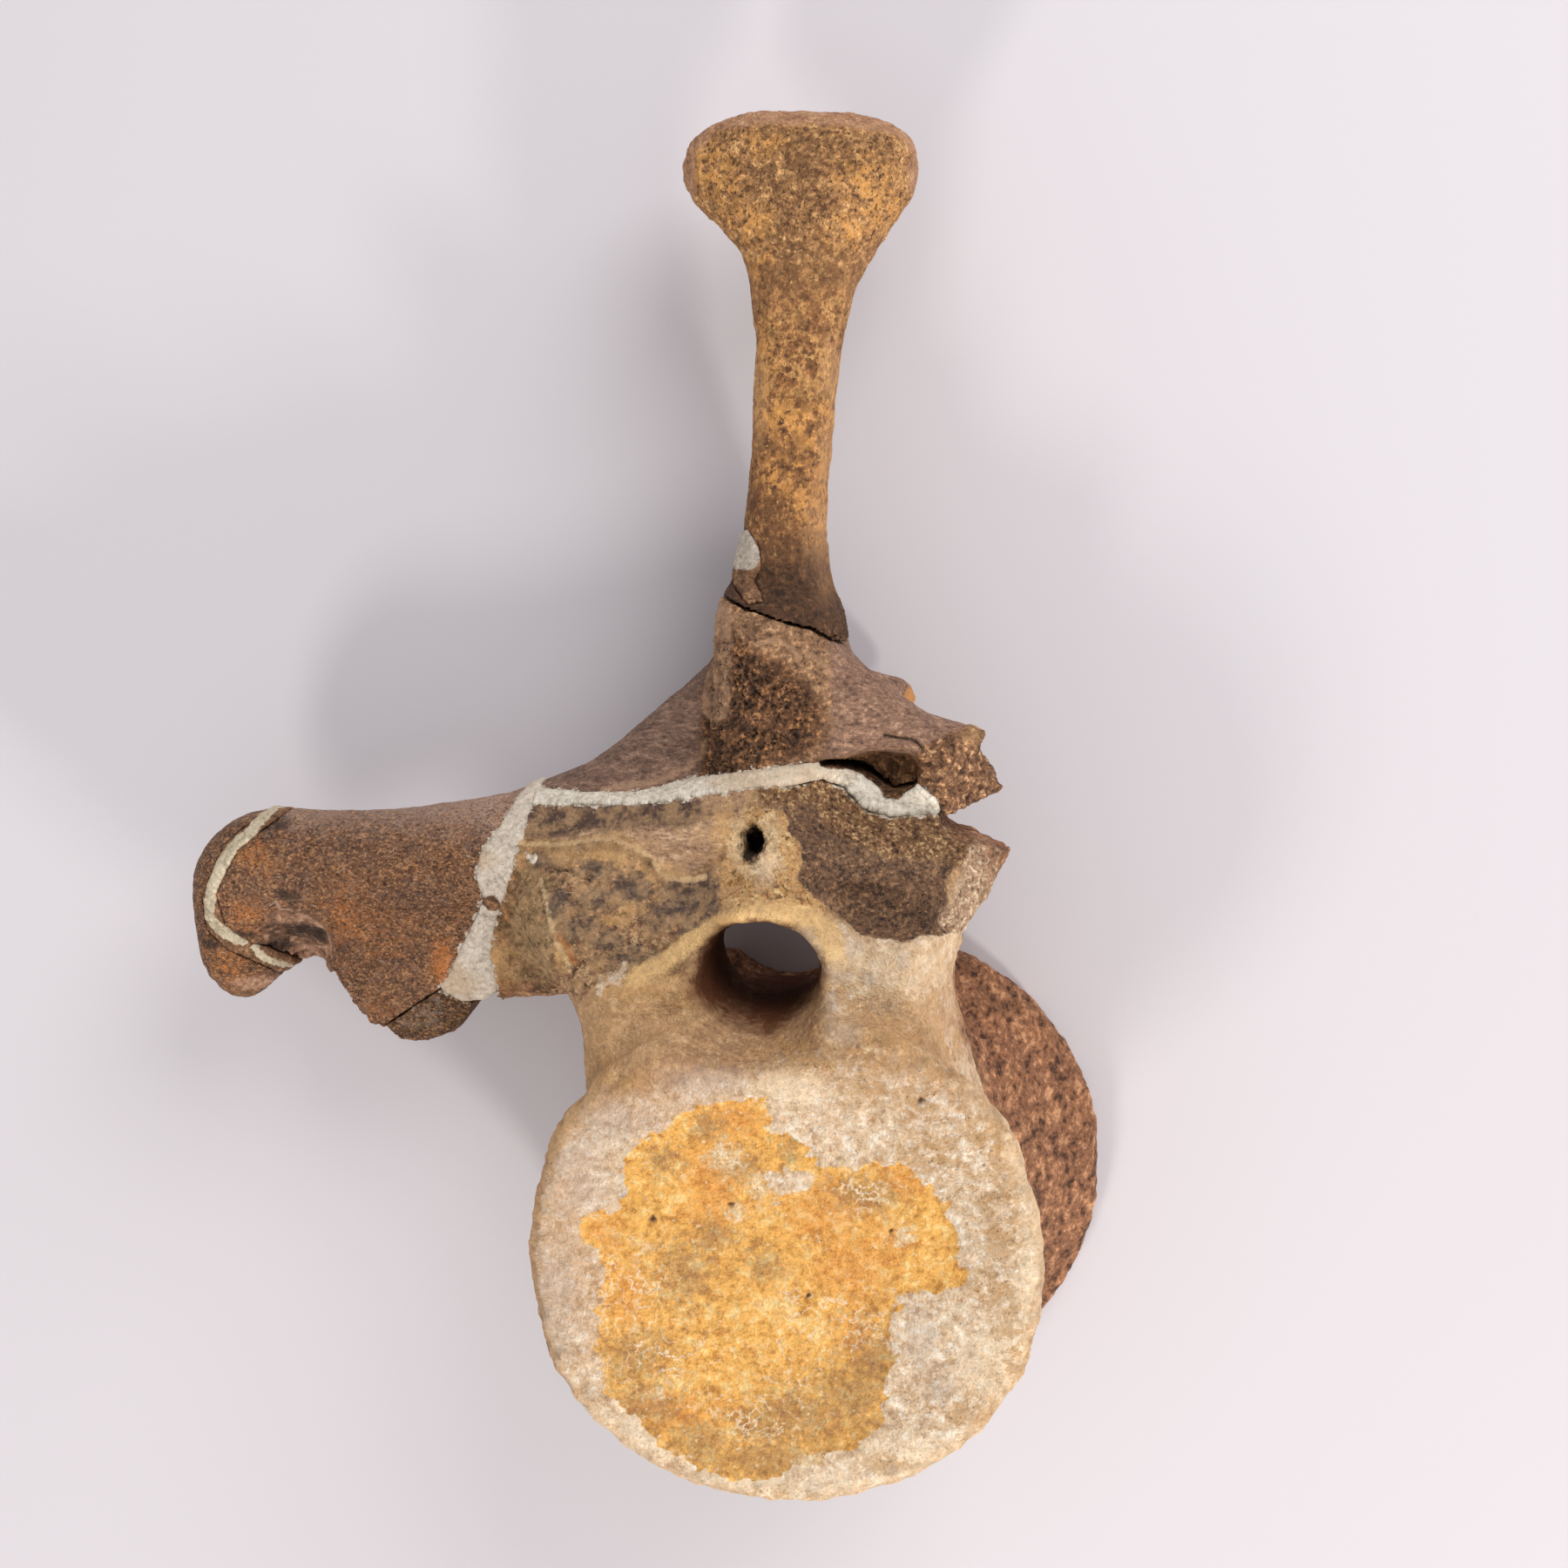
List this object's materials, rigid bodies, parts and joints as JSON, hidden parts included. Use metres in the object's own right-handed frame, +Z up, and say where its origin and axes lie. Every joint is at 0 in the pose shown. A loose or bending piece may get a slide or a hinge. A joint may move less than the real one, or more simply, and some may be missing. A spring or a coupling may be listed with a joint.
{
  "type": "fossil dinosaur vertebra",
  "caption": "Mended fossil back vertebra of a large dinosaur: waisted drum-shaped body, arch over a round canal, long left side process, broken right stump and tall club-tipped spine.",
  "frame": {"origin": "middle of the underside of the bounding box, on the surface that the vertebra lies on", "axes": "+Z up through the body of the vertebra from its rear face to its front face, +Y towards the tip of the neural spine, +X towards the broken side; the long side process points along -X"},
  "size_m": [0.1832, 0.2628, 0.076],
  "materials": {
    "pale_bone": "matt fossil bone, cream with ochre and grey staining",
    "dark_bone": "matt to slightly waxy dark brown fossil bone",
    "ochre_bone": "matt mottled ochre brown fossil bone",
    "filler": "matt off-white plaster filler"
  },
  "bodies": {
    "root": {"centrum": "pale_bone", "upper_arch": "dark_bone", "neural_spine": "ochre_bone", "transverse_process": "dark_bone", "process_tip": "dark_bone", "process_chip": "dark_bone", "arch_filler": "filler", "process_filler": "filler", "tip_filler": "filler", "spine_filler": "filler"}
  },
  "joints": []
}
